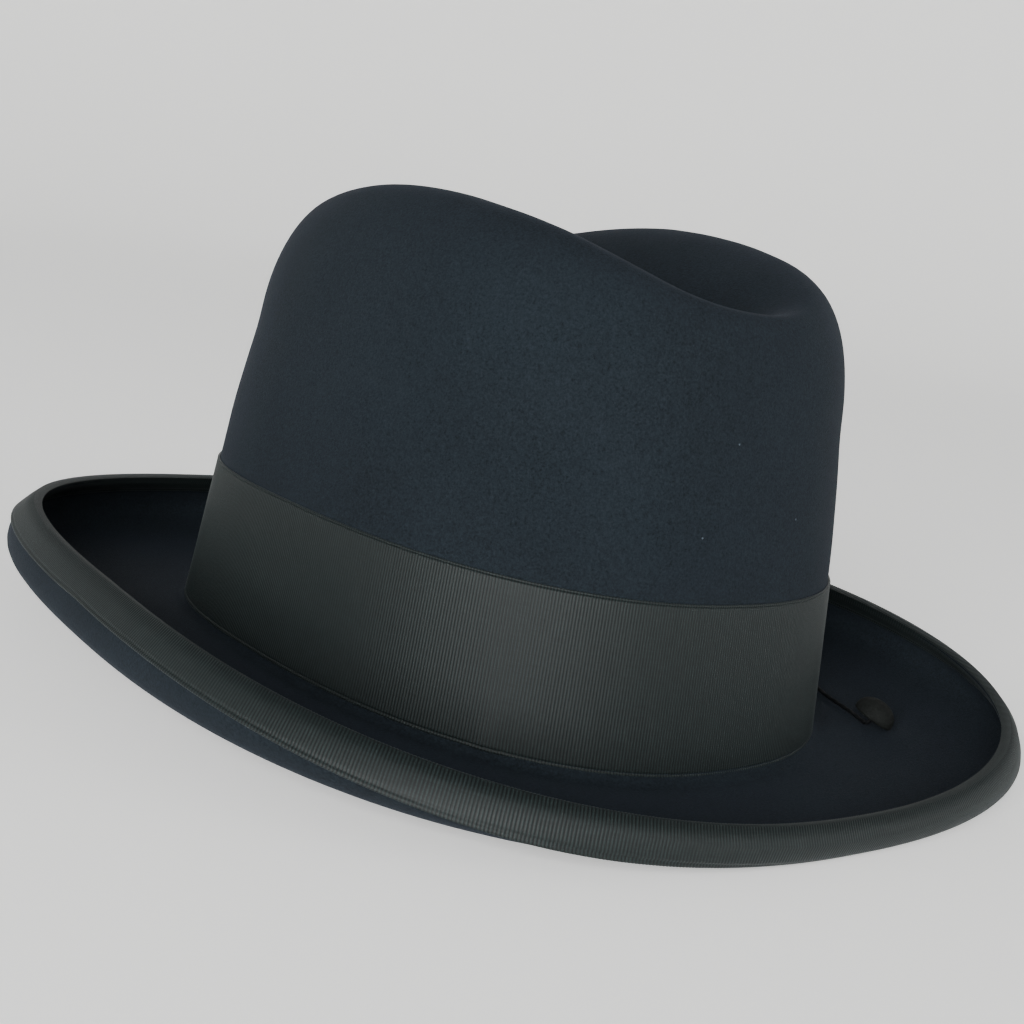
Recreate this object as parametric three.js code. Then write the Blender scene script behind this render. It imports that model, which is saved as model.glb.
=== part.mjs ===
// A homburg: a stiff fur felt hat with one deep crease along its crown, a brim curled up all round,
// a wide grosgrain band with a flat bow, a grosgrain binding over the brim's edge, and a wind cord
// with its button. Millimetres, +Z up. The hat stands on its brim, its front faces -Y, and the
// wearer's left is +X.

import * as THREE from "three";

// Columns of points round the hat. The first one is at the front, and they go round by the wearer's left.
const COLUMNS = 60;

// Felt
const FELT = 2;
const CROWN_HALF_WIDTH = 86;
const CROWN_HALF_LENGTH = 102;
const CROWN_HEIGHT = 140;
const CROWN_SQUARENESS = 2.4;
const CROWN_SET_FORWARD = 5;
const CREASE_DEPTH = 29;
const FOOT_RADIUS = 1.6;

// Brim
const BRIM_HALF_WIDTH = 130;
const BRIM_HALF_LENGTH = 152;
const BRIM_SQUARENESS = 2.5;
const BRIM_FRONT_FULLNESS = 0.12;
const PRESSED_FLAT = 0.8;
const BRIM_DIP = 0.3;
const FOOT_ARCH = 6;
const BRIM_ARCH = 10.3;
const CURL_HEIGHT_SIDE = 18.2;
const CURL_HEIGHT_FRONT = 8.4;
const CURL_HEIGHT_BACK = 21.3;
const CURL_LEAN_SIDE = 9;
const CURL_LEAN_FRONT = 3;
const CURL_LEAN_BACK = 11;

// Ribbon
const CLEARANCE = 0.3;
const BAND_WIDTH = 47;
const BAND_THICKNESS = 0.6;
const BINDING_WIDTH = 8.6;
const BINDING_THICKNESS = 0.5;

// Bow
const BOW_LENGTH = 46;
const BOW_THICKNESS = 2.4;
const KEEPER_LENGTH = 13;
const KEEPER_THICKNESS = 1.4;

// Wind cord and button. The button leans on its rim, and the cord ends under the middle of its flat back.
const CORD_DIAMETER = 1.3;
const CORD_STEPS = 24;
const CORD_ABOVE_BAND_FOOT = 3;
const BUTTON_RADIUS = 6.4;
const BUTTON_RIM = 1.4;
const BUTTON_DOME = 4.9;
const BUTTON_LEAN = new THREE.Vector3(0.33, -0.27, 0.91).normalize();

// Outlines of the crown from its foot up to where it starts to round over. up is a share of the
// crown's height, side, front and back are shares of its half width and half length.
const CROWN_OUTLINES = [
  { up: 0.0, side: 1.0, front: 1.0, back: 1.0 },
  { up: 0.335, side: 0.957, front: 0.965, back: 0.943 },
  { up: 0.52, side: 0.933, front: 0.945, back: 0.908 },
  { up: 0.66, side: 0.898, front: 0.916, back: 0.875 },
];

// The ridge round the crease, and the height of ridge and crease along the hat. along is a share of
// the crown's half length, negative at the front. ridge is a share of the crown's height, crease a
// share of the crease's depth.
const RIDGE_OUTLINE = { side: 0.612, front: 0.828, back: 0.812 };
const CREASE_HALF_LENGTH = 0.58;
const CROWN_TOP = [
  { along: -0.9, ridge: 0.858, crease: 0.6 },
  { along: -0.62, ridge: 0.947, crease: 0.86 },
  { along: -0.2, ridge: 1.008, crease: 1.0 },
  { along: 0.2, ridge: 1.003, crease: 1.0 },
  { along: 0.6, ridge: 0.93, crease: 0.84 },
  { along: 0.9, ridge: 0.84, crease: 0.6 },
];

// One cut through the brim from the crown's foot to the edge. out is a share of the way to where the
// curl stands out most, level goes from the foot's height to the brim's own, lift is a share of the
// curl's height, and lean a share of the way that the curl's edge leans back in.
const BRIM_SECTION = [
  { out: 0.05, level: 0.0, lift: 0.0, lean: 0.0 },
  { out: 0.22, level: 0.3, lift: 0.0, lean: 0.0 },
  { out: 0.42, level: 0.75, lift: 0.0, lean: 0.0 },
  { out: 0.62, level: 1.0, lift: 0.0, lean: 0.0 },
  { out: 0.8, level: 1.0, lift: 0.06, lean: 0.0 },
  { out: 0.93, level: 1.0, lift: 0.2, lean: 0.0 },
  { out: 1.0, level: 1.0, lift: 0.44, lean: 0.0 },
  { out: 1.0, level: 1.0, lift: 0.74, lean: 0.38 },
  { out: 1.0, level: 1.0, lift: 1.0, lean: 1.0 },
];

// The bow along its length: along is a share of half its length, thick a share of its thickness and
// high a share of the band's width. Its waist, under the keeper, is the thin part.
const BOW_SECTIONS = [
  { along: -1.0, thick: 0.7, high: 0.88 },
  { along: -0.9, thick: 1.0, high: 0.9 },
  { along: -0.5, thick: 0.85, high: 0.88 },
  { along: -0.3, thick: 0.4, high: 0.82 },
  { along: 0.3, thick: 0.4, high: 0.82 },
  { along: 0.5, thick: 0.85, high: 0.88 },
  { along: 0.9, thick: 1.0, high: 0.9 },
  { along: 1.0, thick: 0.7, high: 0.88 },
];

// The wind cord's middle line over the brim, after it leaves the band's face just in front of the bow.
const CORD_POINTS = [
  [93.0, -32.0, 10.9],
  [95.9, -37.5, 9.3],
  [96.2, -46.5, 9.05],
  [94.0, -55.0, 8.7],
  [90.7, -61.5, 8.15],
  [87.6, -67.7, 7.7],
  [85.6, -74.3, 7.35],
  [83.7, -81.2, 7.05],
  [81.7, -86.4, 6.85],
  [80.2, -89.8, 6.75],
  [79.5, -91.4, 6.95],
  [79.3, -92.3, 7.5],
];
const CORD_END = [79.6, -92.9, 8.45];

// Heights of the felt's upper side where the brim is lowest, and at the crown's foot in front.
const BRIM_LEVEL = FELT - PRESSED_FLAT;
const FOOT_LEVEL = BRIM_LEVEL + BRIM_DIP;

const crownHeights = new THREE.CubicInterpolant(
  CROWN_TOP.map((row) => row.along),
  CROWN_TOP.flatMap((row) => [row.ridge, row.crease]),
  2,
);

// A value that goes smoothly from its front to its side to its back as the angle goes round.
function round(angle, { side, front, back }) {
  const s = Math.sin(angle);
  const c = Math.cos(angle);
  return side * s * s + (c > 0 ? front : back) * c * c;
}

// A point on an oval, angle 0 at the front, squareness 2 an ellipse and more a fuller one.
function oval(angle, { side, front, back }, squareness) {
  const s = Math.sin(angle);
  const c = Math.cos(angle);
  const reach = (Math.abs(s) ** squareness + Math.abs(c) ** squareness) ** (-1 / squareness);
  return { x: side * reach * s, y: -(c > 0 ? front : back) * reach * c };
}

function crownOval(angle, shares) {
  const sizes = {
    side: shares.side * CROWN_HALF_WIDTH,
    front: shares.front * CROWN_HALF_LENGTH,
    back: shares.back * CROWN_HALF_LENGTH,
  };
  return oval(angle, sizes, CROWN_SQUARENESS);
}

// The crown's foot rises at the sides, as the brim arches there.
function footHeight(angle) {
  return FOOT_LEVEL + FOOT_ARCH * Math.sin(angle) ** 2;
}

function ridgePoint(angle) {
  const { x, y } = crownOval(angle, RIDGE_OUTLINE);
  const [ridge] = crownHeights.evaluate(y / CROWN_HALF_LENGTH);
  return new THREE.Vector3(x, y, FOOT_LEVEL + ridge * CROWN_HEIGHT);
}

// Rows of points inside the crease, from its bottom line out to the ridge.
function creaseRow(share) {
  return (angle) => {
    const ridge = ridgePoint(angle);
    const y = THREE.MathUtils.lerp(-CREASE_HALF_LENGTH * CROWN_HALF_LENGTH * Math.cos(angle), ridge.y, share);
    const [height, depth] = crownHeights.evaluate(y / CROWN_HALF_LENGTH);
    const bottom = FOOT_LEVEL + height * CROWN_HEIGHT - depth * CREASE_DEPTH;
    const rise = 0.5 - 0.5 * Math.cos(Math.PI * share ** 0.85);
    return new THREE.Vector3(ridge.x * share, y, THREE.MathUtils.lerp(bottom, ridge.z, rise));
  };
}

// Rows that round over from the ridge to the crown's wall.
function shoulderRow(share) {
  const top = CROWN_OUTLINES.at(-1);
  return (angle) => {
    const ridge = ridgePoint(angle);
    const wall = crownOval(angle, top);
    const turn = (share * Math.PI) / 2;
    const out = Math.sin(turn);
    const z = FOOT_LEVEL + top.up * CROWN_HEIGHT;
    return new THREE.Vector3(
      THREE.MathUtils.lerp(ridge.x, wall.x, out),
      THREE.MathUtils.lerp(ridge.y, wall.y, out),
      THREE.MathUtils.lerp(z, ridge.z, Math.cos(turn)),
    );
  };
}

const wallOutlines = new THREE.CubicInterpolant(
  CROWN_OUTLINES.map((row) => row.up),
  CROWN_OUTLINES.flatMap((row) => [row.side, row.front, row.back]),
  3,
);

// A row of the crown's wall, at one height above its foot.
function wallRow(height) {
  return (angle) => {
    const [side, front, back] = wallOutlines.evaluate(height / CROWN_HEIGHT);
    const { x, y } = crownOval(angle, { side, front, back });
    const foot = footHeight(angle);
    const level = foot - FOOT_LEVEL;
    const fade = 1 - height / (CROWN_OUTLINES.at(-1).up * CROWN_HEIGHT);
    return new THREE.Vector3(x, y, FOOT_LEVEL + level * fade + height);
  };
}

// The brim's section at one angle, as a curve from the crown's foot to the edge.
function brimCurve(angle) {
  const foot = crownOval(angle, CROWN_OUTLINES[0]);
  const edge = oval(
    angle,
    { side: BRIM_HALF_WIDTH, front: BRIM_HALF_LENGTH, back: BRIM_HALF_LENGTH },
    BRIM_SQUARENESS,
  );
  edge.x *= 1 - (BRIM_FRONT_FULLNESS * edge.y) / BRIM_HALF_LENGTH;
  edge.y += CROWN_SET_FORWARD;
  const curl = round(angle, { side: CURL_HEIGHT_SIDE, front: CURL_HEIGHT_FRONT, back: CURL_HEIGHT_BACK });
  const lean = round(angle, { side: CURL_LEAN_SIDE, front: CURL_LEAN_FRONT, back: CURL_LEAN_BACK });
  const wide = Math.hypot(edge.x - foot.x, edge.y - foot.y);
  const low = BRIM_LEVEL + BRIM_ARCH * Math.sin(angle) ** 2;
  const points = BRIM_SECTION.map(({ out, level, lift, lean: back }) => {
    const way = (out * (wide + lean) - back * lean) / wide;
    return new THREE.Vector3(
      THREE.MathUtils.lerp(foot.x, edge.x, way),
      THREE.MathUtils.lerp(foot.y, edge.y, way),
      THREE.MathUtils.lerp(footHeight(angle), low, level) + lift * curl,
    );
  });
  return new THREE.CatmullRomCurve3(points, false, "centripetal");
}

// A row of the brim: a share of the way from the crown's foot to the binding, then a share of the
// binding's width.
function brimRow(plain, bound) {
  return (angle) => {
    const curve = brimCurve(angle);
    const length = curve.getLength();
    const binding = BINDING_WIDTH / length;
    return curve.getPointAt(Math.min(1, plain * (1 - binding) + bound * binding));
  };
}

function spaced(count, make) {
  return Array.from({ length: count }, (_, i) => make(i / (count - 1)));
}

const BAND_FOOT = FOOT_RADIUS;
const rows = {
  crease: [0, 0.16, 0.33, 0.5, 0.67, 0.82, 0.93].map(creaseRow),
  shoulder: [0, 0.13, 0.28, 0.46, 0.66, 0.85].map(shoulderRow),
  wall: [0.66, 0.57, 0.46].map((up) => wallRow(up * CROWN_HEIGHT)),
  band: spaced(4, (share) => wallRow(BAND_FOOT + (1 - share) * BAND_WIDTH)),
  brim: [0, 0.12, 0.28, 0.45, 0.62, 0.76, 0.88].map((share) => brimRow(share, 0)),
  binding: spaced(4, (share) => brimRow(1, share)),
};
const ROWS = Object.values(rows).flat();
const firstOf = {};
Object.keys(rows).reduce((start, name) => {
  firstOf[name] = start;
  return start + rows[name].length;
}, 0);

// The felt's upper side: points by row and column. The two halves of the crease meet along its
// bottom line, so they share that row's points.
const points = [];
const indexOf = ROWS.map((row, i) =>
  Array.from({ length: COLUMNS }, (_, j) => {
    const column = i === 0 ? Math.min(j, (COLUMNS - j) % COLUMNS) : j;
    if (column !== j) return column;
    const point = row((2 * Math.PI * j) / COLUMNS);
    point.y -= CROWN_SET_FORWARD;
    points.push(point);
    return points.length - 1;
  }),
);

// Two triangles for each square of a grid of indices, round all its columns, cut along the shorter
// diagonal so that sheets that lie side by side are cut alike.
function sheetTriangles(vertices, grid, flip) {
  const triangles = [];
  for (let i = 0; i + 1 < grid.length; i++) {
    for (let j = 0; j < COLUMNS; j++) {
      const next = (j + 1) % COLUMNS;
      const [a, b, c, d] = [grid[i][j], grid[i + 1][j], grid[i + 1][next], grid[i][next]];
      const cut = vertices[a].distanceTo(vertices[c]) < vertices[b].distanceTo(vertices[d]);
      const pair = cut || a === d ? [[a, b, c], [a, c, d]] : [[a, b, d], [b, c, d]];
      triangles.push(...pair.filter((t) => new Set(t).size === 3));
    }
  }
  return flip ? triangles.map(([a, b, c]) => [a, c, b]) : triangles;
}

function geometryOf(vertices, triangles) {
  const geometry = new THREE.BufferGeometry().setFromPoints(vertices);
  geometry.setIndex(triangles.flat());
  return geometry;
}

// The felt's outward direction at each of its points.
const upperSide = geometryOf(points, sheetTriangles(points, indexOf, false));
upperSide.computeVertexNormals();
const normals = points.map((_, k) => new THREE.Vector3().fromBufferAttribute(upperSide.attributes.normal, k));

// A point of the felt, moved out of its upper side by a distance.
function offUpper(i, j, distance) {
  const k = indexOf[i][j];
  return points[k].clone().addScaledVector(normals[k], distance);
}

// The same for the under side, which is pressed flat where the hat stands on it.
function offUnder(i, j, distance) {
  const point = offUpper(i, j, -FELT);
  point.z = Math.max(point.z, 0);
  return point.addScaledVector(normals[indexOf[i][j]], -distance);
}

// Closed skin over a ring of sections: each column's section is a closed loop of points.
function ringGeometry(section) {
  const loops = Array.from({ length: COLUMNS }, (_, j) => section(j));
  const size = loops[0].length;
  const grid = Array.from({ length: size + 1 }, (_, i) =>
    Array.from({ length: COLUMNS }, (_, j) => j * size + (i % size)),
  );
  return geometryOf(loops.flat(), sheetTriangles(loops.flat(), grid, false));
}

function feltGeometry() {
  const last = ROWS.length - 1;
  const vertices = [...points];
  const under = indexOf.map((row, i) =>
    row.map((k, j) => {
      if (i === 0 && k !== j) return points.length + k;
      vertices.push(offUnder(i, j, 0));
      return vertices.length - 1;
    }),
  );
  const triangles = [
    ...sheetTriangles(vertices, indexOf, false),
    ...sheetTriangles(vertices, under, true),
    ...sheetTriangles(vertices, [indexOf[last], under[last]], false),
  ];
  return geometryOf(vertices, triangles);
}

function bandGeometry() {
  const first = firstOf.band;
  const count = rows.band.length;
  const span = Array.from({ length: count }, (_, k) => first + k);
  return ringGeometry((j) => [
    ...span.map((i) => offUpper(i, j, CLEARANCE + BAND_THICKNESS)),
    ...span.toReversed().map((i) => offUpper(i, j, CLEARANCE)),
  ]);
}

// The binding's section: up the outside of the curl, over its edge and down the inside.
function bindingGeometry() {
  const last = ROWS.length - 1;
  const span = Array.from({ length: rows.binding.length - 1 }, (_, k) => firstOf.binding + k);
  return ringGeometry((j) => {
    const outward = offUpper(last, j, 0).sub(offUpper(last - 1, j, 0)).normalize();
    const skin = (gap, fold) => [
      ...span.map((i) => offUpper(i, j, gap)),
      offUpper(last, j, gap).addScaledVector(outward, fold * gap),
      offUpper(last, j, -FELT / 2).addScaledVector(outward, gap),
      offUnder(last, j, gap).addScaledVector(outward, fold * gap),
      ...span.toReversed().map((i) => offUnder(i, j, gap)),
    ];
    return [
      ...skin(CLEARANCE + BINDING_THICKNESS, 0.5),
      ...skin(CLEARANCE, 1).toReversed(),
    ];
  });
}

// A point between rows and columns of the felt, moved out of its upper side by a distance.
function between(row, column, distance) {
  const i = Math.min(Math.floor(row), ROWS.length - 2);
  const j = Math.floor(column);
  const onRow = (k) => offUpper(k, j, distance).lerp(offUpper(k, j + 1, distance), column - j);
  return onRow(i).lerp(onRow(i + 1), row - i);
}

// A point off the band's face on the wearer's left: along the hat and up from the bow's middle.
const BOW_COLUMN = COLUMNS / 4;
const COLUMN_LENGTH = offUpper(firstOf.band, BOW_COLUMN, 0).distanceTo(offUpper(firstOf.band, BOW_COLUMN + 1, 0));
function offBand(along, up, distance) {
  const bandRows = rows.band.length - 1;
  const row = firstOf.band + bandRows * (0.5 - up / BAND_WIDTH);
  return between(row, BOW_COLUMN + along / COLUMN_LENGTH, CLEARANCE + BAND_THICKNESS + distance);
}

// Closed skin over sections along the hat, all with one outline, with a flat end at each side. The
// outline's points go anticlockwise, each with its distance off the band and its height.
function barGeometry(sections, outline) {
  const size = outline.length;
  const triangles = [];
  for (let i = 0; i + 1 < sections.length; i++) {
    for (let k = 0; k < size; k++) {
      const [a, b] = [i * size + k, i * size + ((k + 1) % size)];
      triangles.push([b, a, a + size], [b, a + size, b + size]);
    }
  }
  const face = THREE.ShapeUtils.triangulateShape(outline.map(([x, y]) => new THREE.Vector2(x, y)), []);
  const last = (sections.length - 1) * size;
  face.forEach(([a, b, c]) => triangles.push([a, b, c], [a + last, c + last, b + last]));
  return geometryOf(sections.flat(), triangles);
}

const BOW_LIFT = CLEARANCE;
const WAIST = BOW_SECTIONS.find((row) => row.along === 0.3);

function bowGeometry() {
  const outline = [[0, -0.5], [1, -0.5], [1, 0.5], [0, 0.5]];
  const sections = BOW_SECTIONS.map(({ along, thick, high }) =>
    outline.map(([out, up]) =>
      offBand((along * BOW_LENGTH) / 2, up * high * BAND_WIDTH, BOW_LIFT + out * thick * BOW_THICKNESS),
    ),
  );
  return barGeometry(sections, outline);
}

// The keeper wraps over the bow's waist, down to the band above and below it.
function keeperGeometry() {
  const inside = (WAIST.high * BAND_WIDTH) / 2 + CLEARANCE;
  const outside = inside + KEEPER_THICKNESS;
  const under = BOW_LIFT + WAIST.thick * BOW_THICKNESS + CLEARANCE;
  const over = under + KEEPER_THICKNESS;
  const outline = [
    [CLEARANCE, -outside],
    [CLEARANCE, -inside],
    [under, -inside],
    [under, inside],
    [CLEARANCE, inside],
    [CLEARANCE, outside],
    [over, outside],
    [over, -outside],
  ].reverse();
  const sections = [-0.5, 0, 0.5].map((share) =>
    outline.map(([distance, up]) => offBand(share * KEEPER_LENGTH, up, distance)),
  );
  return barGeometry(sections, outline);
}

function cordGeometry() {
  const along = -(BOW_LENGTH / 2 + 5);
  const up = CORD_ABOVE_BAND_FOOT - BAND_WIDTH / 2;
  const start = offBand(along, up, CLEARANCE * 1.3);
  const next = offBand(along, up, CLEARANCE + 2);
  const path = new THREE.CatmullRomCurve3(
    [start, next, ...[...CORD_POINTS, CORD_END].map((p) => new THREE.Vector3(...p))],
    false,
    "centripetal",
  );
  const section = new THREE.Shape(new THREE.EllipseCurve(0, 0, CORD_DIAMETER / 2, CORD_DIAMETER / 2).getPoints(8));
  return new THREE.ExtrudeGeometry(section, { steps: CORD_STEPS, extrudePath: path, curveSegments: 8 });
}

function buttonGeometry() {
  const dome = new THREE.EllipseCurve(0, BUTTON_RIM, BUTTON_RADIUS, BUTTON_DOME, 0, Math.PI / 2);
  const profile = [
    new THREE.Vector2(0, 0),
    new THREE.Vector2(BUTTON_RADIUS * 0.94, 0),
    ...dome.getPoints(5),
  ];
  return new THREE.LatheGeometry(profile, 16).rotateX(Math.PI / 2);
}

const hat = new THREE.Group();

function addPiece(name, geometry, color, roughness) {
  const material = new THREE.MeshStandardMaterial({ color, roughness, metalness: 0 });
  const mesh = new THREE.Mesh(geometry, material);
  mesh.name = name;
  hat.add(mesh);
  return mesh;
}

const NAVY_FELT = 0x1b2431;
const GROSGRAIN = 0x30383b;
const BLACK_CORD = 0x17181a;

addPiece("felt_body", feltGeometry(), NAVY_FELT, 0.95);
addPiece("hat_band", bandGeometry(), GROSGRAIN, 0.7);
addPiece("brim_binding", bindingGeometry(), GROSGRAIN, 0.7);
addPiece("bow", bowGeometry(), GROSGRAIN, 0.7);
addPiece("bow_keeper", keeperGeometry(), GROSGRAIN, 0.7);
addPiece("wind_cord", cordGeometry(), BLACK_CORD, 0.8);

const button = addPiece("wind_button", buttonGeometry(), NAVY_FELT, 0.85);
button.quaternion.setFromUnitVectors(new THREE.Vector3(0, 0, 1), BUTTON_LEAN);
button.position.set(...CORD_END).addScaledVector(BUTTON_LEAN, 1.5 * CLEARANCE);

// The middle of the hat's length and width is the origin.
const middle = new THREE.Box3().setFromObject(hat).getCenter(new THREE.Vector3());
hat.position.set(-middle.x, -middle.y, 0);

export default hat;
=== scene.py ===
# %% [markdown]
# # A homburg
# A homburg is a stiff fur felt hat with one crease along its crown and a brim that is curled up
# all round. Ribbon does the rest: a wide band round the crown and a binding over the brim's edge.
# The measured solids are loaded first. Every piece made here stands where its solid stands.

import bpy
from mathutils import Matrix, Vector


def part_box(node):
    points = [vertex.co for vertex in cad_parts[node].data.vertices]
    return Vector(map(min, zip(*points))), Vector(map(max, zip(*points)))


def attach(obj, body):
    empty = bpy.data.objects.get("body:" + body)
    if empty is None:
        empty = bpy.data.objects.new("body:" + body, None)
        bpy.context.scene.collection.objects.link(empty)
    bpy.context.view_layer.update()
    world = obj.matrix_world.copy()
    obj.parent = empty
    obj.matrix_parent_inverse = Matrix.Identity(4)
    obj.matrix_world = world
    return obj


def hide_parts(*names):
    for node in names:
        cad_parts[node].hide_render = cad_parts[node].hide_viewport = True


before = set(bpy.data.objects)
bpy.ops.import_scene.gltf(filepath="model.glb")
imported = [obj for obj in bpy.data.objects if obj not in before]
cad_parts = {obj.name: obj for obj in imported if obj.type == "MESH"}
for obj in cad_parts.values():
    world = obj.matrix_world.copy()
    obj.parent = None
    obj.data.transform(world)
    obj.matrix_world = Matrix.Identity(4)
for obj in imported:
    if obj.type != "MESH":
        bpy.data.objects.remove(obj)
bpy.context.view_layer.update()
print("Solids:", ", ".join(sorted(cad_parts)))

# %% Modules, and the unit
import math

import bmesh
import bpy
import numpy as np
from mathutils import Matrix, Vector, noise

MM = 0.001

# %% [markdown]
# ## The camera
# The photo was taken from the front, a little above the brim and on the wearer's right, with the
# hat tipped in the picture. A camera can be placed by three directions and a point: what is to
# its right, what is up, and what is behind it. They were worked out from the hat's outlines.

# %% Place the camera
CAMERA_PLACE = Vector((-330.66, -387.88, 142.70)) * MM
CAMERA_RIGHT = Vector((0.763786, -0.623445, 0.167172))
CAMERA_UP = Vector((-0.011524, 0.24578, 0.969257))
CAMERA_LENS = 58.387

bpy.ops.object.select_all(action="DESELECT")
bpy.ops.object.camera_add()
camera = bpy.context.object
camera.name = "photo_camera"
turn = Matrix((CAMERA_RIGHT, CAMERA_UP, CAMERA_RIGHT.cross(CAMERA_UP))).transposed()
camera.matrix_world = Matrix.Translation(CAMERA_PLACE) @ turn.to_4x4()
camera.data.sensor_width = 36
camera.data.lens = CAMERA_LENS
camera.data.clip_start = 0.01
bpy.context.scene.camera = camera
print("Camera is", round(CAMERA_PLACE.length * 1000), "mm from the hat's middle")

# %% [markdown]
# ## Small tools
# Points are read from a mesh and written back as one table of numbers, which is quick and keeps
# the sums in one place. The smooth line through a row of points is a Catmull-Rom spline: it goes
# through every point and needs no handles.

# %% Read and write a mesh's points
def points_of(piece):
    table = np.empty(len(piece.data.vertices) * 3)
    piece.data.vertices.foreach_get("co", table)
    return table.reshape(-1, 3)


def set_points(piece, table):
    piece.data.vertices.foreach_set("co", np.asarray(table).ravel())
    piece.data.update()


def activate(piece):
    bpy.ops.object.select_all(action="DESELECT")
    piece.select_set(True)
    bpy.context.view_layer.objects.active = piece


def apply_all(piece):
    activate(piece)
    for modifier in list(piece.modifiers):
        bpy.ops.object.modifier_apply(modifier=modifier.name)


# %% A smooth line through points
def spline(points, at, closed=False):
    count = len(points)
    first = np.floor(at).astype(int)
    share = (at - first).reshape((-1,) + (1,) * (points.ndim - 1))

    def near(step):
        index = first + step
        return points[index % count] if closed else points[np.clip(index, 0, count - 1)]

    a, b, c, d = near(-1), near(0), near(1), near(2)
    curve = 2 * a - 5 * b + 4 * c - d + share * (3 * (b - c) + d - a)
    return b + 0.5 * share * (c - a + share * curve)


def lengths_along(points):
    steps = np.linalg.norm(np.diff(points, axis=0), axis=1)
    return np.concatenate([[0], np.cumsum(steps)])


# %% [markdown]
# ## The wind cord
# A thin cord comes out beside the bow, lies on the brim and ends in a small covered button. It
# is two strands twisted together, so its section is a figure of two lobes that turns as it goes
# along. The ring of points is swept by hand, because a bevelled curve can't twist by the length.

# %% The cord's route over the brim
CORD_DIAMETER = 1.3 * MM
CORD_LAY = 4.2 * MM
CORD_ROUTE = np.array([
    [84.89, -38.44, 11.61],
    [86.72, -38.76, 12.03],
    [93.00, -35.44, 10.90],
    [95.90, -40.94, 9.30],
    [96.20, -49.94, 9.05],
    [94.00, -58.44, 8.70],
    [90.70, -64.94, 8.15],
    [87.60, -71.14, 7.70],
    [85.60, -77.74, 7.35],
    [83.70, -84.64, 7.05],
    [81.70, -89.84, 6.85],
    [80.20, -93.24, 6.75],
    [79.50, -94.84, 6.95],
    [79.30, -95.74, 7.50],
    [79.60, -96.34, 8.45],
]) * MM

cord_line = spline(CORD_ROUTE, np.linspace(0, len(CORD_ROUTE) - 1, 241))


# %% Sweep the twisted cord
def twisted_cord(name, line, diameter, lay, corners=14, dip=0.16):
    travelled = lengths_along(line)
    heading = np.gradient(line, axis=0)
    heading /= np.linalg.norm(heading, axis=1)[:, None]
    level = np.cross(heading, (0, 0, 1))
    level /= np.linalg.norm(level, axis=1)[:, None]
    rise = np.cross(level, heading)
    angle = np.arange(corners) * 2 * math.pi / corners
    lobes = diameter / 2 * (1 - dip * np.cos(angle) ** 2)
    turned = angle[None, :] + (travelled / lay * math.pi)[:, None]
    ring = (
        line[:, None, :]
        + (lobes * np.cos(turned))[:, :, None] * level[:, None, :]
        + (lobes * np.sin(turned))[:, :, None] * rise[:, None, :]
    )
    rows = len(line)
    faces = [
        (i * corners + k, i * corners + (k + 1) % corners,
         (i + 1) * corners + (k + 1) % corners, (i + 1) * corners + k)
        for i in range(rows - 1)
        for k in range(corners)
    ]
    faces += [tuple(range(corners))[::-1], tuple((rows - 1) * corners + k for k in range(corners))]
    mesh = bpy.data.meshes.new(name)
    mesh.from_pydata(ring.reshape(-1, 3).tolist(), [], faces)
    piece = bpy.data.objects.new(name, mesh)
    bpy.context.scene.collection.objects.link(piece)
    activate(piece)
    bpy.ops.object.mode_set(mode="EDIT")
    bpy.ops.mesh.select_all(action="SELECT")
    bpy.ops.mesh.normals_make_consistent(inside=False)
    bpy.ops.object.mode_set(mode="OBJECT")
    bpy.ops.object.shade_smooth_by_angle(angle=math.radians(50))
    return piece


cord = twisted_cord("cord_twisted", cord_line, CORD_DIAMETER, CORD_LAY)
print("Cord:", len(cord.data.polygons), "faces")

# %% [markdown]
# ## The button
# A covered button is a domed metal shell with cloth stretched over it. It leans on its rim, and
# the cord is tied under the middle of its flat back. A sphere gives the dome: its lower half is
# cut away, the rim is extruded down, and the cloth is drawn in over the back.

# %% Model the button
BUTTON_RADIUS = 6.4 * MM
BUTTON_RIM = 1.4 * MM
BUTTON_DOME = 4.9 * MM
BUTTON_LEAN = Vector((0.33, -0.27, 0.91)).normalized()
BUTTON_PLACE = Vector((79.748, -96.458, 8.857)) * MM


def edges_at_height(mesh, height, slack=1e-6):
    for edge in mesh.edges:
        edge.select = all(abs(vertex.co.z - height) < slack for vertex in edge.verts)


def extrude_ring(down, wider):
    bpy.ops.mesh.extrude_region_move(TRANSFORM_OT_translate={"value": (0, 0, -down)})
    bpy.ops.transform.resize(value=(wider, wider, 1), center_override=(0, 0, 0))


bpy.ops.object.select_all(action="DESELECT")
bpy.ops.mesh.primitive_uv_sphere_add(segments=48, ring_count=24, radius=BUTTON_RADIUS)
button = bpy.context.object
button.name = "button_covered"
bpy.ops.object.mode_set(mode="EDIT")
bpy.ops.mesh.select_all(action="SELECT")
bpy.ops.mesh.bisect(plane_co=(0, 0, 0), plane_no=(0, 0, 1), clear_inner=True)
bpy.ops.mesh.select_all(action="SELECT")
bpy.ops.transform.resize(value=(1, 1, BUTTON_DOME / BUTTON_RADIUS), center_override=(0, 0, 0))
bpy.ops.mesh.select_all(action="DESELECT")
button_mesh = bmesh.from_edit_mesh(button.data)
edges_at_height(button_mesh, 0)
bmesh.update_edit_mesh(button.data)
bpy.ops.mesh.select_mode(type="EDGE")
for down, wider in ((0.5, 0.995), (0.3, 0.97), (0.15, 0.92), (0.05, 0.75), (0.0, 0.5)):
    extrude_ring(down * BUTTON_RIM, wider)
bpy.ops.mesh.edge_face_add()
bpy.ops.object.mode_set(mode="OBJECT")
print("Button:", len(button.data.polygons), "faces")

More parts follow.
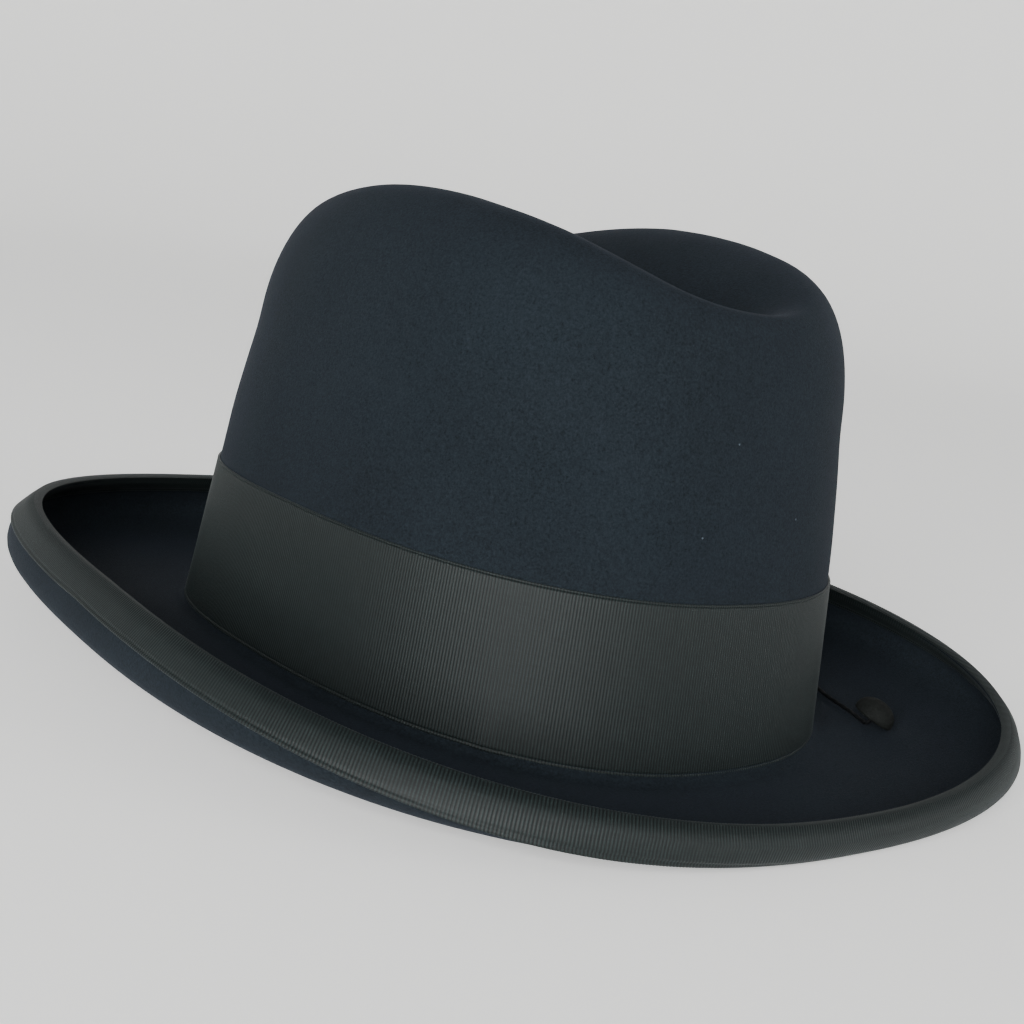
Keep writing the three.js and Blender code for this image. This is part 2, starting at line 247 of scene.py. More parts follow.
# %% Stand the button on the cord's end
button_turn = Vector((0, 0, 1)).rotation_difference(BUTTON_LEAN).to_matrix().to_4x4()
button.data.transform(Matrix.Translation((0, 0, BUTTON_RIM)))
button.data.transform(Matrix.Translation(BUTTON_PLACE) @ button_turn)
activate(button)
bpy.ops.object.shade_smooth_by_angle(angle=math.radians(50))
print("Button's height above the floor:", round(min(points_of(button)[:, 2]) / MM, 1), "mm")

# %% [markdown]
# ## The felt
# A felt hat is one piece: a cone of fur felt is steamed, pulled over a block, and its crease and
# brim are shaped by hand over steam. The measured solid has that shape in flat faces. A copy of
# it is merged, its triangles are joined to squares, and a subdivision surface rounds them.

# %% Copy the felt's solid and round it
def merged_copy(node, name):
    piece = bpy.data.objects.new(name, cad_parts[node].data.copy())
    bpy.context.scene.collection.objects.link(piece)
    activate(piece)
    bpy.ops.mesh.customdata_custom_splitnormals_clear()
    bpy.ops.object.mode_set(mode="EDIT")
    bpy.ops.mesh.select_all(action="SELECT")
    bpy.ops.mesh.remove_doubles(threshold=1e-6)
    bpy.ops.mesh.tris_convert_to_quads(face_threshold=math.pi, shape_threshold=math.pi)
    bpy.ops.object.mode_set(mode="OBJECT")
    return piece


felt = merged_copy("felt_body", "felt_crown_and_brim")
squares = sum(len(face.vertices) == 4 for face in felt.data.polygons)
print("Felt:", squares, "squares and", len(felt.data.polygons) - squares, "triangles")
rounding = felt.modifiers.new("rounding", "SUBSURF")
rounding.levels = rounding.render_levels = 2
apply_all(felt)
felt.data.materials.clear()
bpy.ops.object.shade_smooth()
print("Rounded felt:", len(felt.data.polygons), "faces")

# %% [markdown]
# Steam and handling leave the felt a little uneven. Each point is moved along its normal by soft
# noise: a slow wave of a few centimetres and a fine one of a few millimetres. The waves fade out
# where ribbon lies on the felt, so that nothing pokes through.

# %% Make the felt a little uneven
BAND_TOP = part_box("hat_band")[1][2]
WAVES = ((45 * MM, 0.35 * MM), (14 * MM, 0.1 * MM))
WAVES_START = 3 * MM
WAVES_FADE = 12 * MM


def uneven(piece, free):
    table = points_of(piece)
    normals = np.empty(len(table) * 3)
    piece.data.vertices.foreach_get("normal", normals)
    shift = np.zeros(len(table))
    for size, height in WAVES:
        shift += [height * noise.noise(Vector(point) / size) for point in table]
    set_points(piece, table + normals.reshape(-1, 3) * (shift * free)[:, None])
    print("Waves move the felt by up to", round(np.abs(shift * free).max() / MM, 2), "mm")


above_band = points_of(felt)[:, 2] - BAND_TOP
uneven(felt, np.clip((above_band - WAVES_START) / WAVES_FADE, 0, 1))

# %% [markdown]
# A few places differ in the photo from the measured solid, by one to three millimetres: the ridges
# are fuller towards the front, the curl is drawn out and up at the two back corners of the brim,
# and on the wearer's right it hangs a little lower. The binding follows the curl later, so that
# step is a function.

# %% Leave the two ridges a little fuller towards the front
FULLER_AT = -62 * MM
FULLER_REACH = 30 * MM
FULLER_RISE = 0.9 * MM
RIDGES_START = 110 * MM
RIDGES_FADE = 20 * MM

table = points_of(felt)
near_front = np.exp(-(((table[:, 1] - FULLER_AT) / FULLER_REACH) ** 2))
high_up = np.clip((table[:, 2] - RIDGES_START) / RIDGES_FADE, 0, 1)
table[:, 2] += FULLER_RISE * near_front * high_up
set_points(felt, table)
print("Felt's top is now at", round(table[:, 2].max() / MM, 1), "mm")

# %% Shape the curl
# Each pull has its middle, its reach and how far it moves the felt there, in millimetres. The
# pulls fade out towards the crown, whose outline is taken as an oval.
CURL_PULLS = (
    ((114, 88), 58, (2.1, 1.7, 1.2)),
    ((-114, 88), 58, (-2.1, 1.7, 1.2)),
    ((-135, -15), 70, (-0.3, 0.0, -1.0)),
)
CROWN_HALF_WIDTH = 86 * MM
CROWN_HALF_LENGTH = 102 * MM
CROWN_MIDDLE = -8 * MM
PULL_START = 1.1
PULL_FADE = 0.35


def pull_curl(piece):
    table = points_of(piece)
    sideways = table[:, 0] / CROWN_HALF_WIDTH
    lengthways = (table[:, 1] - CROWN_MIDDLE) / CROWN_HALF_LENGTH
    free = np.clip((np.hypot(sideways, lengthways) - PULL_START) / PULL_FADE, 0, 1)
    free = free ** 2 * (3 - 2 * free)
    moved = table.copy()
    for middle, reach, pull in CURL_PULLS:
        away = np.linalg.norm(table[:, :2] - np.array(middle) * MM, axis=1)
        share = free * np.exp(-((away / (reach * MM)) ** 2))
        moved += share[:, None] * np.array(pull) * MM
    moved[:, 2] = np.maximum(moved[:, 2], np.minimum(table[:, 2], 0))
    set_points(piece, moved)
    farthest = np.linalg.norm(moved - table, axis=1).max()
    print("The pulls move", piece.name, "by up to", round(farthest / MM, 1), "mm")


pull_curl(felt)

# %% [markdown]
# ## Ribbon
# Grosgrain is a ribbon with ribs across it: thick weft threads, eight to each 7 mm in the
# photograph, covered by fine warp threads. One rib is modelled as a strip of a grid. The grid's
# two long edges are extruded back and bridged for the ribbon's thickness, and an Array repeats the
# rib to the ribbon's length. Near each edge lies a row of stitches, which pulls a groove in the
# ribs.

# %% Weave a flat ribbon
RIB_HEIGHTS = (0.0, 0.72, 1.0, 0.72, 0.0)
RIBBON_LEVEL = 0.7
RIB_RELIEF = 0.14 * MM
RIBBON_THICKNESS = 0.4 * MM
EDGE_ROWS = np.array([0.0, 0.25, 0.7, 1.1, 1.4, 1.7, 2.2]) * MM
EDGE_HEIGHTS = (-0.12, 0.0, 0.06, -0.02, -0.2, -0.02, 0.0)
ROW_SPACING = 4 * MM


def ribbon_rows(width):
    inside = width - 2 * EDGE_ROWS[-1]
    count = max(2, round(inside / ROW_SPACING) + 1)
    middle = np.linspace(EDGE_ROWS[-1], width - EDGE_ROWS[-1], count)
    return np.concatenate([EDGE_ROWS, middle[1:-1], (width - EDGE_ROWS)[::-1]])


def flat_ribbon(name, ribs, pitch, width):
    rows = ribbon_rows(width)
    plain = np.zeros(len(rows) - 2 * len(EDGE_ROWS))
    heights = np.concatenate([EDGE_HEIGHTS, plain, EDGE_HEIGHTS[::-1]]) * MM
    bpy.ops.object.select_all(action="DESELECT")
    bpy.ops.mesh.primitive_grid_add(x_subdivisions=4, y_subdivisions=len(rows) - 1, size=1)
    piece = bpy.context.object
    piece.name = name
    flat = points_of(piece)
    column = np.rint((flat[:, 0] + 0.5) * 4).astype(int)
    row = np.rint((flat[:, 1] + 0.5) * (len(rows) - 1)).astype(int)
    rib = np.array(RIB_HEIGHTS)[column]
    set_points(piece, np.column_stack([
        column / 4 * pitch,
        rows[row],
        heights[row] + (rib - RIBBON_LEVEL) * RIB_RELIEF,
    ]))
    bpy.ops.object.mode_set(mode="EDIT")
    close_back(piece, width)
    bpy.ops.object.mode_set(mode="OBJECT")
    copies = piece.modifiers.new("ribs", "ARRAY")
    copies.count = ribs
    copies.use_relative_offset = False
    copies.use_constant_offset = True
    copies.constant_offset_displace = (pitch, 0, 0)
    copies.use_merge_vertices = True
    copies.merge_threshold = 0.01 * MM
    apply_all(piece)
    return piece


# %% Give the ribbon its back
def select_edges(piece, wanted):
    mesh = bmesh.from_edit_mesh(piece.data)
    bpy.ops.mesh.select_all(action="DESELECT")
    for edge in mesh.edges:
        if wanted(edge):
            edge.select_set(True)
    bmesh.update_edit_mesh(piece.data)


def close_back(piece, width):
    bpy.ops.mesh.select_mode(type="EDGE")

    def on_long_edge(edge):
        ends = [vertex.co.y for vertex in edge.verts]
        return edge.is_boundary and (max(ends) < 1e-7 or min(ends) > width - 1e-7)

    select_edges(piece, on_long_edge)
    back = (0, 0, -RIBBON_THICKNESS)
    bpy.ops.mesh.extrude_region_move(TRANSFORM_OT_translate={"value": back})
    bpy.ops.mesh.bridge_edge_loops()
    bpy.ops.mesh.select_all(action="SELECT")
    bpy.ops.mesh.normals_make_consistent(inside=False)


# %% [markdown]
# ## Laying the ribbon on the hat
# The solids of the band and of the binding are rings of sections. Each section is read back from
# its mesh as a line of points over the ribbon's outer face. A smooth surface through those lines
# is the place of the ribbon: how far along it, how far across and how far out. The solids keep a
# small gap to the felt that real ribbon doesn't have, so ribbon is laid a little further in.

# %% Read a ring's outer face from its solid
NEXT_SECTION = math.radians(1.5)


def ring_sections(solid, outer, first):
    mesh = bmesh.new()
    mesh.from_mesh(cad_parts[solid].data)
    bmesh.ops.remove_doubles(mesh, verts=mesh.verts, dist=1e-6)
    low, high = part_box(solid)
    middle = Vector(((low[0] + high[0]) / 2, (low[1] + high[1]) / 2, 0))

    def turn_of(vertex):
        return math.atan2(vertex.co.x - middle.x, middle.y - vertex.co.y) % math.tau

    turns = sorted((turn_of(vertex), vertex.index) for vertex in mesh.verts)
    mesh.verts.ensure_lookup_table()
    start = next(i for i in range(len(turns)) if turns[i][0] - turns[i - 1][0] > NEXT_SECTION)
    columns = [[]]
    for i in range(len(turns)):
        turn, index = turns[(start + i) % len(turns)]
        if columns[-1] and (turn - last) % math.tau > NEXT_SECTION:
            columns.append([])
        columns[-1].append(index)
        last = turn
    return np.array([outer_line(mesh, column, outer, first) for column in columns])


def outer_line(mesh, column, outer, first):
    members = set(column)
    loop = [column[0]]
    while len(loop) < len(column):
        here = mesh.verts[loop[-1]]
        ways = [edge.other_vert(here).index for edge in here.link_edges]
        loop.append(next(k for k in ways if k in members and k not in loop))
    line = np.array([mesh.verts[k].co for k in loop])
    steps = np.linalg.norm(np.roll(line, -1, axis=0) - line, axis=1)
    half = len(line) // 2
    cut = min(range(half), key=lambda k: steps[k] + steps[k + half])
    line = np.roll(line, -(cut + 1), axis=0)
    face = max((line[:half], line[half:]), key=outer)
    return face if first(face[0]) > first(face[-1]) else face[::-1]


band_face = ring_sections(
    "hat_band",
    outer=lambda line: np.hypot(line[:, 0], line[:, 1]).mean(),
    first=lambda point: point[2],
)
binding_face = ring_sections(
    "brim_binding",
    outer=lambda line: lengths_along(line)[-1],
    first=lambda point: -math.hypot(point[0], point[1]),
)
print("Band:", band_face.shape, "binding:", binding_face.shape)


# %% A smooth surface through the sections
class RibbonFace:
    def __init__(self, sections, sunk):
        self.sections = sections
        self.sunk = sunk
        count = len(sections)
        middle = sections[:, sections.shape[1] // 2]
        self.turns = np.linspace(0, count, count * 12 + 1)
        self.travelled = lengths_along(spline(middle, self.turns, closed=True))
        self.length = self.travelled[-1]
        across = np.mean([lengths_along(section) for section in sections], axis=0)
        self.across = across
        self.width = across[-1]

    def at(self, turn, row):
        lines = spline(self.sections, turn, closed=True)
        count = lines.shape[1]
        first = np.clip(np.floor(row).astype(int), 0, count - 1)
        share = (row - first)[:, None]
        pick = np.arange(len(lines))
        a, b, c, d = (lines[pick, np.clip(first + k, 0, count - 1)] for k in (-1, 0, 1, 2))
        curve = 2 * a - 5 * b + 4 * c - d + share * (3 * (b - c) + d - a)
        return b + 0.5 * share * (c - a + share * curve)

    def place(self, along, across, out):
        turn = np.interp(along % self.length, self.travelled, self.turns)
        row = np.interp(across, self.across, np.arange(len(self.across)))
        point = self.at(turn, row)
        step = 0.02
        round_way = self.at(turn + step, row) - self.at(turn - step, row)
        last = len(self.across) - 1
        below, above = np.minimum(row + step, last), np.maximum(row - step, 0)
        down = self.at(turn, below) - self.at(turn, above)
        normal = np.cross(down, round_way)
        normal /= np.linalg.norm(normal, axis=1)[:, None]
        return point + normal * (out - self.sunk)[:, None]


band_surface = RibbonFace(band_face, sunk=0.4 * MM)
binding_surface = RibbonFace(binding_face, sunk=0.15 * MM)
for name, surface in (("Band", band_surface), ("Binding", binding_surface)):
    print(name, "is", round(surface.length / MM), "by", round(surface.width / MM, 1), "mm")

# %% [markdown]
# ## The band
# The band is one length of ribbon round the crown's foot. It sits tight at the top. On the
# wearer's right its lower edge flares a little off the felt and has one small pucker. A smaller
# flare at the back left, which the photo doesn't show, is a guess. The flat ribbon's own measures
# are kept as a UV map, because the weave is drawn along them.

# %% Lay the band round the crown
FLAT_MAP = "ribbon"


def keep_flat_map(piece):
    flat = points_of(piece)[:, :2]
    corners = np.empty(len(piece.data.loops), dtype=int)
    piece.data.loops.foreach_get("vertex_index", corners)
    while piece.data.uv_layers:
        piece.data.uv_layers.remove(piece.data.uv_layers[0])
    piece.data.uv_layers.new(name=FLAT_MAP)
    piece.data.uv_layers[FLAT_MAP].data.foreach_set("uv", (flat[corners] / MM / 10).ravel())


def join_ends(piece):
    activate(piece)
    bpy.ops.object.mode_set(mode="EDIT")
    bpy.ops.mesh.select_all(action="SELECT")
    bpy.ops.mesh.remove_doubles(threshold=0.02 * MM)
    bpy.ops.mesh.normals_make_consistent(inside=False)
    bpy.ops.object.mode_set(mode="OBJECT")
    bpy.ops.object.shade_smooth_by_angle(angle=math.radians(70))


# Each place is a turn round the hat in sections, with its reach along the ribbon and how far out.
BAND_FLARES = (
    (44.5, 48 * MM, 1.3 * MM),
    (51.6, 4 * MM, 0.5 * MM),
    (20.0, 40 * MM, 0.5 * MM),
)
FLARE_HEIGHT = 9 * MM
BAND_LIFT = 1.2 * MM


def flared(along, across):
    out = np.zeros(len(along))
    for turn, reach, rise in BAND_FLARES:
        middle = np.interp(turn, band_surface.turns, band_surface.travelled)
        out += rise * np.exp(-(((along - middle) / reach) ** 2))
    return out * np.exp(-(((band_surface.width - across) / FLARE_HEIGHT) ** 2))


RIB_PITCH = 0.87 * MM
band_ribs = round(band_surface.length / RIB_PITCH)
band = flat_ribbon("band_ribbon", band_ribs, band_surface.length / band_ribs, band_surface.width)
keep_flat_map(band)
flat = points_of(band)
out = flat[:, 2] + flared(flat[:, 0], flat[:, 1])
across = flat[:, 1] * (1 - BAND_LIFT / band_surface.width)
set_points(band, band_surface.place(flat[:, 0], across, out))
join_ends(band)
print("Band:", band_ribs, "ribs and", len(band.data.polygons), "faces")

# %% [markdown]
# ## The binding
# The binding is a narrower ribbon, folded in half along its length over the brim's edge and
# stitched through. Its ribs go up the outside, over the edge and down the inside.

# %% Lay the binding over the brim's edge
binding_ribs = round(binding_surface.length / RIB_PITCH)
binding = flat_ribbon(
    "binding_ribbon", binding_ribs, binding_surface.length / binding_ribs, binding_surface.width
)
keep_flat_map(binding)
flat = points_of(binding)
set_points(binding, binding_surface.place(flat[:, 0], flat[:, 1], flat[:, 2]))
pull_curl(binding)
join_ends(binding)
print("Binding:", binding_ribs, "ribs and", len(binding.data.polygons), "faces")

# %% [markdown]
# ## The bow
# The band's ends meet on the wearer's left, under a flat bow. The bow is one ribbon too, folded
# back at both ends into flat loops, and held at its waist by a short keeper. The ribbon is
# folded first, as a line seen from above, and then laid on the band.

# %% Fold a flat ribbon along a line
BOW_MIDDLE = band_surface.travelled[len(band_surface.turns) // 4]


def folded(piece, line):
    flat = points_of(piece)
    travelled = lengths_along(line)
    at = np.interp(flat[:, 0], travelled, np.arange(len(line)))
    place = spline(line, at)
    behind, ahead = np.maximum(at - 0.05, 0), np.minimum(at + 0.05, len(line) - 1)
    step = spline(line, ahead) - spline(line, behind)
    normal = np.column_stack([-step[:, 1], step[:, 0]])
    normal /= np.linalg.norm(normal, axis=1)[:, None]
    return np.column_stack([place + normal * flat[:, 2:3], flat[:, 1]])


def cap_ends(piece):
    activate(piece)
    bpy.ops.object.mode_set(mode="EDIT")
    select_edges(piece, lambda edge: edge.is_boundary)
    bpy.ops.mesh.fill()
    bpy.ops.mesh.select_all(action="SELECT")
    bpy.ops.mesh.normals_make_consistent(inside=False)
    bpy.ops.object.mode_set(mode="OBJECT")
    bpy.ops.object.shade_smooth_by_angle(angle=math.radians(70))


# %% Fold the bow and lay it on the band
BOW_WIDTH = 40 * MM
BOW_WAIST = 7 * MM
BOW_PINCH = 0.07
BOW_FOLD = np.array([
    [1.0, 0.9], [6.0, 0.95], [12.0, 1.1], [18.0, 1.1], [21.3, 1.0], [22.3, 1.6], [21.4, 2.35],
    [18.0, 2.6], [12.0, 2.4], [7.0, 1.9], [3.0, 1.75], [0.0, 1.7], [-3.0, 1.75], [-7.0, 1.9],
    [-12.0, 2.4], [-18.0, 2.6], [-21.4, 2.35], [-22.3, 1.6], [-21.3, 1.0], [-18.0, 1.1],
    [-12.0, 1.1], [-6.0, 0.95], [-1.0, 0.9],
]) * MM
bow_line = spline(BOW_FOLD, np.linspace(0, len(BOW_FOLD) - 1, 300))
bow_length = lengths_along(bow_line)[-1]
bow_ribs = round(bow_length / RIB_PITCH)
bow = flat_ribbon("bow_ribbon", bow_ribs, bow_length / bow_ribs, BOW_WIDTH)
keep_flat_map(bow)
shape = folded(bow, bow_line)
waist = 1 - BOW_PINCH * np.exp(-((shape[:, 0] / BOW_WAIST) ** 2))
across = band_surface.width / 2 + (shape[:, 2] - BOW_WIDTH / 2) * waist
set_points(bow, band_surface.place(BOW_MIDDLE + shape[:, 0], across, shape[:, 1]))
cap_ends(bow)
print("Bow:", round(bow_length / MM), "mm of ribbon,", len(bow.data.polygons), "faces")

# %% Lay the keeper over the bow's waist
KEEPER_WIDTH = 12.6 * MM
KEEPER_FOLD = np.array([
    [-20.8, 1.0], [-20.9, 1.9], [-20.5, 2.6], [-19.6, 2.9], [-10.0, 2.95], [0.0, 3.0],
    [10.0, 2.95], [19.6, 2.9], [20.5, 2.6], [20.9, 1.9], [20.8, 1.0],
]) * MM
keeper_line = spline(KEEPER_FOLD[::-1], np.linspace(0, len(KEEPER_FOLD) - 1, 160))
keeper_length = lengths_along(keeper_line)[-1]
keeper_ribs = round(keeper_length / RIB_PITCH)
keeper = flat_ribbon("keeper_ribbon", keeper_ribs, keeper_length / keeper_ribs, KEEPER_WIDTH)
keep_flat_map(keeper)
shape = folded(keeper, keeper_line)
along = BOW_MIDDLE + shape[:, 2] - KEEPER_WIDTH / 2
set_points(keeper, band_surface.place(along, band_surface.width / 2 + shape[:, 0], shape[:, 1]))
cap_ends(keeper)
print("Keeper:", keeper_ribs, "ribs")

# %% [markdown]
# ## Materials
# Colours are given as web colours and turned to linear light by one function. One more
# function adds a node. Its inputs are numbers, or the outputs of other nodes, which are linked.
# Four short ones make what every cloth here needs: sums, clouds, two tones and bumps.

# %% Helpers for materials
def colour(code):
    parts = [int(code[i:i + 2], 16) / 255 for i in (1, 3, 5)]
    return [c / 12.92 if c <= 0.04045 else ((c + 0.055) / 1.055) ** 2.4 for c in parts] + [1.0]


def fill(made, inputs):
    for name, value in inputs.items():
        socket = made.inputs[name]
        if isinstance(value, bpy.types.NodeSocket):
            made.id_data.links.new(value, socket)
        else:
            socket.default_value = value


def node(material, kind, inputs, **settings):
    made = material.node_tree.nodes.new(kind)
    for name, value in settings.items():
        setattr(made, name, value)
    fill(made, inputs)
    return made


def new_material(name):
    material = bpy.data.materials.new(name)
    material.use_nodes = True
    return material, material.node_tree.nodes["Principled BSDF"]


# %% Patterns, tones and bumps
def maths(material, operation, *values):
    inputs = dict(enumerate(values))
    return node(material, "ShaderNodeMath", inputs, operation=operation).outputs[0]


def clouds(material, size, detail, roughness=0.5):
    place = node(material, "ShaderNodeTexCoord", {})
    inputs = {
        "Vector": place.outputs["Object"],
        "Scale": 1 / size,
        "Detail": detail,
        "Roughness": roughness,
    }
    return node(material, "ShaderNodeTexNoise", inputs).outputs["Fac"]


def two_tones(material, pattern, dark, light):
    ramp = node(material, "ShaderNodeValToRGB", {"Fac": pattern})
    for stop, (position, code) in zip(ramp.color_ramp.elements, (dark, light)):
        stop.position = position
        stop.color = colour(code)
    return ramp.outputs["Color"]


def bumps(material, height, strength, depth):
    inputs = {"Height": height, "Strength": strength, "Distance": depth}
    return node(material, "ShaderNodeBump", inputs).outputs["Normal"]


# %% [markdown]
# ### Fur felt
# Fur felt is matted rabbit or beaver hair, sanded to a short nap. It hardly shines, it looks
# lighter at a grazing angle, and close up it is mottled where the nap lies one way or another.
# Lint shows on it as small pale specks, which are put in a few of the cells of a wide pattern.

# %% Mottle the felt
FELT_DARK = (0.4, "#0b0f12")
FELT_LIGHT = (0.75, "#1c2329")
NAP_SIZE = 0.8 * MM
GRAIN_SIZE = 0.5 * MM
CLOUD_SIZE = 34 * MM
CLOUD_SHARE = 0.12

fur_felt, felt_shader = new_material("fur_felt")
nap = clouds(fur_felt, NAP_SIZE, 4.0, 0.6)
grain = clouds(fur_felt, GRAIN_SIZE, 3.0, 0.7)
cloud = clouds(fur_felt, CLOUD_SIZE, 2.0)
fine = maths(fur_felt, "MULTIPLY", maths(fur_felt, "ADD", nap, grain), 0.5)
mottled = maths(fur_felt, "MULTIPLY_ADD", cloud, CLOUD_SHARE, fine)
felt_tone = two_tones(fur_felt, mottled, FELT_DARK, FELT_LIGHT)
print("Felt is mottled by", len(fur_felt.node_tree.nodes), "nodes")

# %% Strew lint on the felt
LINT = "#424a52"
LINT_SPACING = 9 * MM
LINT_RADIUS = 0.032
CELLS_WITHOUT = 0.8

place = node(fur_felt, "ShaderNodeTexCoord", {})
inputs = {"Vector": place.outputs["Object"], "Scale": 1 / LINT_SPACING}
cells = node(fur_felt, "ShaderNodeTexVoronoi", inputs)
cell_number = node(fur_felt, "ShaderNodeSeparateXYZ", {"Vector": cells.outputs["Color"]})
near = maths(fur_felt, "LESS_THAN", cells.outputs["Distance"], LINT_RADIUS)
chosen = maths(fur_felt, "GREATER_THAN", cell_number.outputs["X"], CELLS_WITHOUT)
speck = maths(fur_felt, "MULTIPLY", near, chosen)
linted = node(fur_felt, "ShaderNodeMixRGB", {0: speck, 1: felt_tone, 2: colour(LINT)})
fill(felt_shader, {
    "Base Color": linted.outputs["Color"],
    "Normal": bumps(fur_felt, grain, 0.8, 0.16 * MM),
    "Roughness": 0.92,
    "Specular IOR Level": 0.1,
    "Sheen Weight": 0.04,
    "Sheen Roughness": 0.45,
    "Sheen Tint": colour("#8f9db8"),
})
print("A speck of lint is", round(2 * LINT_RADIUS * LINT_SPACING / MM, 1), "mm across")

# %% [markdown]
# ### Grosgrain ribbon
# The warp threads that cover the ribs are rayon or silk, so each rib has a soft shine and the
# hollow between two ribs is dark. The ribs are in the mesh. The material paints shade into the
# hollow between two ribs, lighter towards each crest, and adds the fine warp threads along the
# ribbon and a slow change in tone.

# %% Grosgrain ribbon
# The dark tone is painted shade in the hollows between ribs, and the light tone is on the crests.
RIBBON_DARK = (0.1, "#0e1111")
RIBBON_LIGHT = (0.75, "#1e2727")
WARP_PITCH = 0.3 * MM
RIBBON_CLOUD_SIZE = 30 * MM


def warp_threads(material, flat):
    scale = (2.0, 10 * MM / WARP_PITCH, 1.0)
    stretched = node(material, "ShaderNodeMapping", {"Vector": flat, "Scale": scale})
    inputs = {"Vector": stretched.outputs["Vector"], "Scale": 1.0, "Detail": 2.0}
    return node(material, "ShaderNodeTexNoise", inputs).outputs["Fac"]


# Painted shade: 0 in the hollow between two ribs, where shade falls, rising to 1 on each crest.
def painted_hollow_shade(material, flat, pitch):
    along = node(material, "ShaderNodeSeparateXYZ", {"Vector": flat}).outputs["X"]
    phase = maths(material, "MULTIPLY", along, 10 * MM / pitch * math.tau)
    wave = maths(material, "COSINE", phase)
    inputs = {"Value": wave, "From Min": -1.0, "From Max": 1.0, "To Min": 1.0, "To Max": 0.0}
    return node(material, "ShaderNodeMapRange", inputs).outputs[0]


def grosgrain(name, pitch):
    material, shader = new_material(name)
    flat = node(material, "ShaderNodeUVMap", {}, uv_map=FLAT_MAP).outputs["UV"]
    warp = warp_threads(material, flat)
    # The painted shade of the hollows is multiplied by the grain of the warp threads.
    warp_and_painted_shade = maths(material, "MULTIPLY", painted_hollow_shade(material, flat, pitch), warp)
    cloud = clouds(material, RIBBON_CLOUD_SIZE, 1.0)
    shade = maths(material, "MULTIPLY_ADD", cloud, CLOUD_SHARE, warp_and_painted_shade)
    fill(shader, {
        "Base Color": two_tones(material, shade, RIBBON_DARK, RIBBON_LIGHT),
        "Normal": bumps(material, warp, 0.35, 0.05 * MM),
        "Roughness": 0.55,
        "Specular IOR Level": 0.18,
        "Sheen Weight": 0.08,
        "Sheen Roughness": 0.35,
        "Sheen Tint": colour("#aeb8bb"),
    })
    print(name, "has a rib each", round(pitch / MM, 3), "mm")
    return material


band_material = grosgrain("grosgrain_band", band_surface.length / band_ribs)
binding_material = grosgrain("grosgrain_binding", binding_surface.length / binding_ribs)

# %% [markdown]
# ### Cord and button
# The cord is black twisted silk, and the button is covered with the same dark cloth, woven so
# finely that only its soft shine and a faint grain show.

# %% Cord and button cloth
STRAND_SIZE = 0.5 * MM
WEAVE_SIZE = 0.6 * MM

cord_material, cord_shader = new_material("twisted_silk_cord")
strands = clouds(cord_material, STRAND_SIZE, 3.0)
fill(cord_shader, {
    "Base Color": two_tones(cord_material, strands, (0.3, "#08090a"), (0.75, "#141517")),
    "Roughness": 0.65,
    "Specular IOR Level": 0.1,
})
cloth_material, cloth_shader = new_material("button_silk_cloth")
weave = clouds(cloth_material, WEAVE_SIZE, 3.0)
fill(cloth_shader, {
    "Base Color": two_tones(cloth_material, weave, (0.3, "#0c0e0d"), (0.75, "#191b1a")),
    "Normal": bumps(cloth_material, weave, 0.4, 0.08 * MM),
    "Roughness": 0.8,
    "Specular IOR Level": 0.1,
})
print("Materials:", ", ".join(sorted(material.name for material in bpy.data.materials)))

# %% [markdown]
# ## Dress the hat
# Each finished piece stands for its solid and rides with the hat.

# %% Dress the hat
DRESSING = (
    (felt, "felt_body", "felt", fur_felt),
    (band, "hat_band", "grosgrain", band_material),
    (binding, "brim_binding", "grosgrain", binding_material),
    (bow, "bow", "grosgrain", band_material),
    (keeper, "bow_keeper", "grosgrain", band_material),
    (cord, "wind_cord", "cord", cord_material),
    (button, "wind_button", "button_cloth", cloth_material),
)
for piece, solid, slot, material in DRESSING:
    piece.data.materials.clear()
    piece.data.materials.append(material)
    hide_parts(solid)
    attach(piece, "root")
print("Dressed", len(DRESSING), "pieces")

# %% [markdown]
# ## Floor and light
# The hat rests on a plain pale floor. Its far rim curves up all round, so that no horizon shows
# behind the hat in the photo's view. A large soft light, the window, stands on the camera's left,
# a weak reflector on its right, and the sky fills the rest. The paper glows a little, which brings
# it nearer to the photo's white ground without more light on the hat.

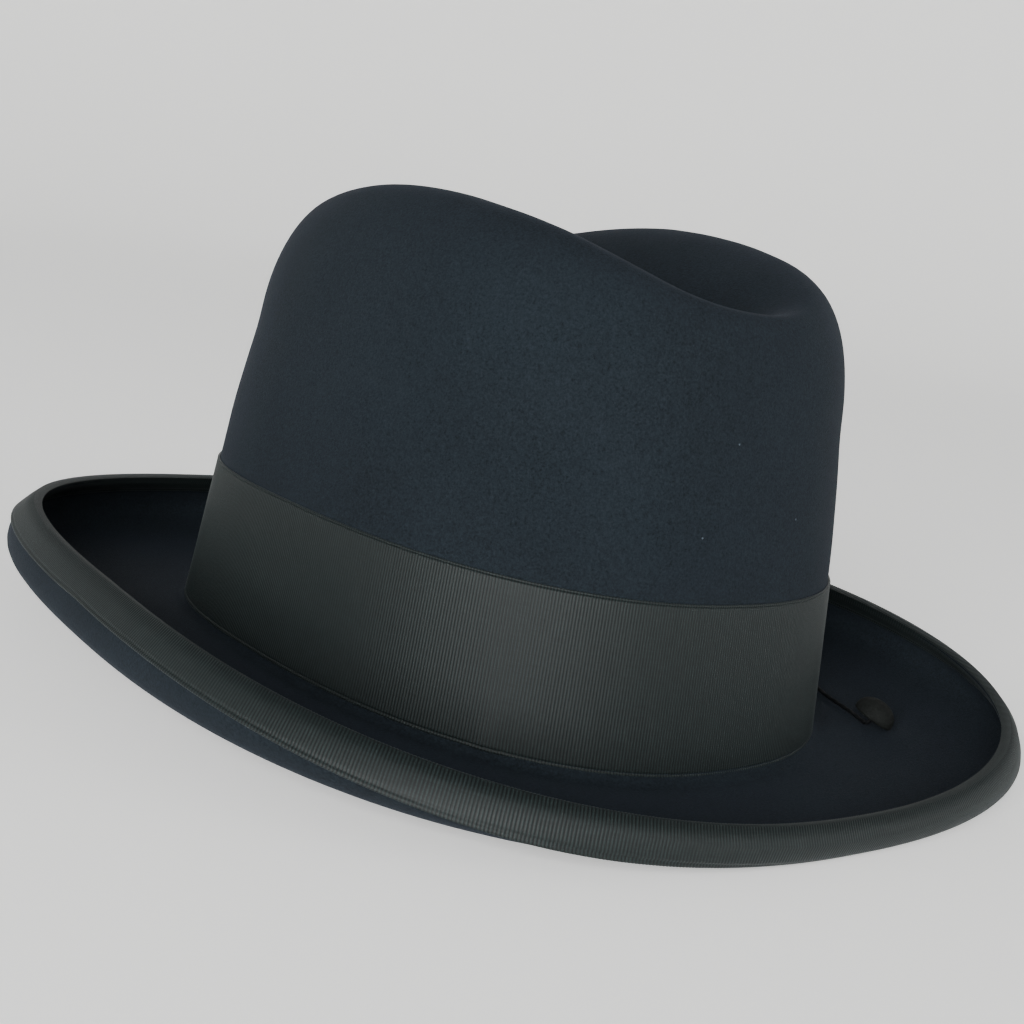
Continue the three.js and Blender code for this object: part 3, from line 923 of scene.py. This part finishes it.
# %% Floor
# Each ring of the rim is wider and higher than the ring before it.
FLOOR_RADIUS = 2.2
FLOOR_RIM = ((1.12, 0.03), (1.1, 0.12), (1.07, 0.25), (1.04, 0.4), (1.0, 1.2))

bpy.ops.object.select_all(action="DESELECT")
bpy.ops.mesh.primitive_circle_add(vertices=96, radius=FLOOR_RADIUS, fill_type="NGON")
floor = bpy.context.object
floor.name = "pale_floor"
bpy.ops.object.mode_set(mode="EDIT")
bpy.ops.mesh.select_all(action="SELECT")
for wider, up in FLOOR_RIM:
    bpy.ops.mesh.select_mode(type="EDGE")
    select_edges(floor, lambda edge: edge.is_boundary)
    bpy.ops.mesh.extrude_region_move(TRANSFORM_OT_translate={"value": (0, 0, up)})
    bpy.ops.transform.resize(value=(wider, wider, 1), center_override=(0, 0, 0))
bpy.ops.mesh.select_all(action="SELECT")
bpy.ops.mesh.normals_make_consistent(inside=True)
bpy.ops.object.mode_set(mode="OBJECT")
bpy.ops.object.shade_smooth_by_angle(angle=math.radians(60))
floor_material, floor_shader = new_material("matte_paper")
fill(floor_shader, {
    "Base Color": colour("#f2f2f0"),
    "Roughness": 0.9,
    "Emission Color": (1, 1, 1, 1),
    "Emission Strength": 0.42,
})
floor.data.materials.append(floor_material)
print("Floor:", len(floor.data.polygons), "faces")


# %% Lights
LIGHT_SIZE = 1.2
LIT_POINT = Vector((0, 0, 0.06))


def soft_light(name, place, power):
    bpy.ops.object.select_all(action="DESELECT")
    bpy.ops.object.light_add(type="AREA", location=place)
    light = bpy.context.object
    light.name = name
    light.data.size = LIGHT_SIZE
    light.data.energy = power
    light.rotation_euler = (LIT_POINT - Vector(place)).to_track_quat("-Z", "Y").to_euler()
    print(name, "gives", power, "W")


soft_light("window", (-1.5, -1.17, 0.42), 80)
soft_light("reflector", (0.9, -1.6, 0.55), 9)
world = bpy.data.worlds.new("pale_sky")
world.use_nodes = True
fill(world.node_tree.nodes["Background"], {"Color": (1, 1, 1, 1), "Strength": 0.12})
bpy.context.scene.world = world
